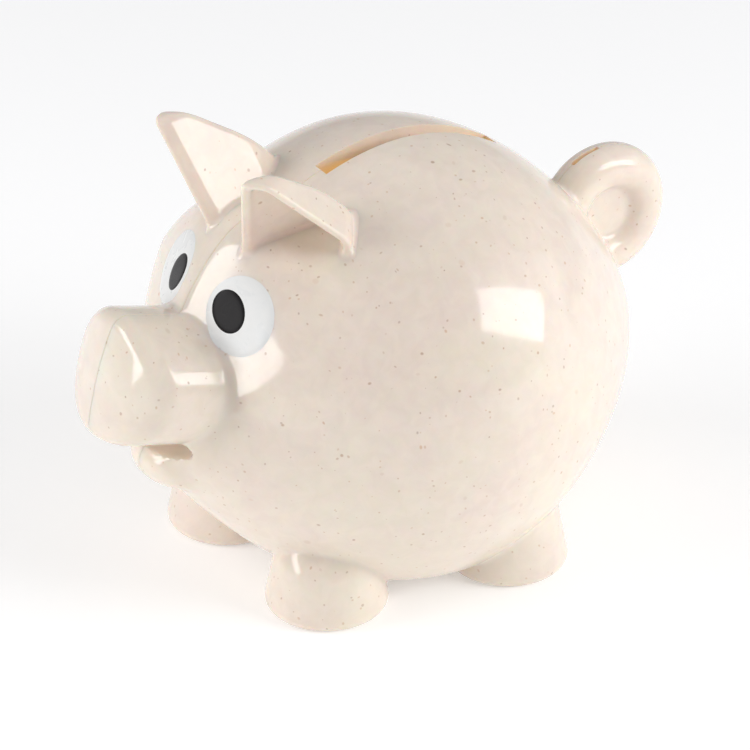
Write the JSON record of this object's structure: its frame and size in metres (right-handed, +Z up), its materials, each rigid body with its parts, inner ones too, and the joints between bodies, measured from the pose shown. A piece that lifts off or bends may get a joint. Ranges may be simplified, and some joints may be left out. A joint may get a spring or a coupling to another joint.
{
  "type": "piggy bank",
  "caption": "Pig-shaped coin bank with a round hollow body, a slot along the back, folded ears, printed eyes, a ring tail and a soft stopper in the belly.",
  "frame": {"origin": "on the floor, under the middle of the part's overall box; the middle plane of the pig is x = 0", "axes": "snout faces -Y, the pig's left side is +X, +Z is up"},
  "size_m": [0.097, 0.14, 0.101],
  "materials": {
    "shell_plastic": "glossy cream plastic with fine brown fibre specks",
    "eye_white_print": "smooth white print",
    "pupil_print": "glossy black print",
    "stopper_rubber": "soft milky translucent"
  },
  "bodies": {
    "bank": {"body_shell_left": "shell_plastic", "body_shell_right": "shell_plastic", "ear_left": "shell_plastic", "ear_right": "shell_plastic", "eye_white_left": "eye_white_print", "eye_white_right": "eye_white_print", "pupil_left": "pupil_print", "pupil_right": "pupil_print"},
    "stopper": {"belly_plug": "stopper_rubber"}
  },
  "joints": [
    {"name": "stopper_pull", "type": "slide", "parent": "bank", "child": "stopper", "axis": [0, 0, -1], "range_m": [0, 0.02]}
  ]
}
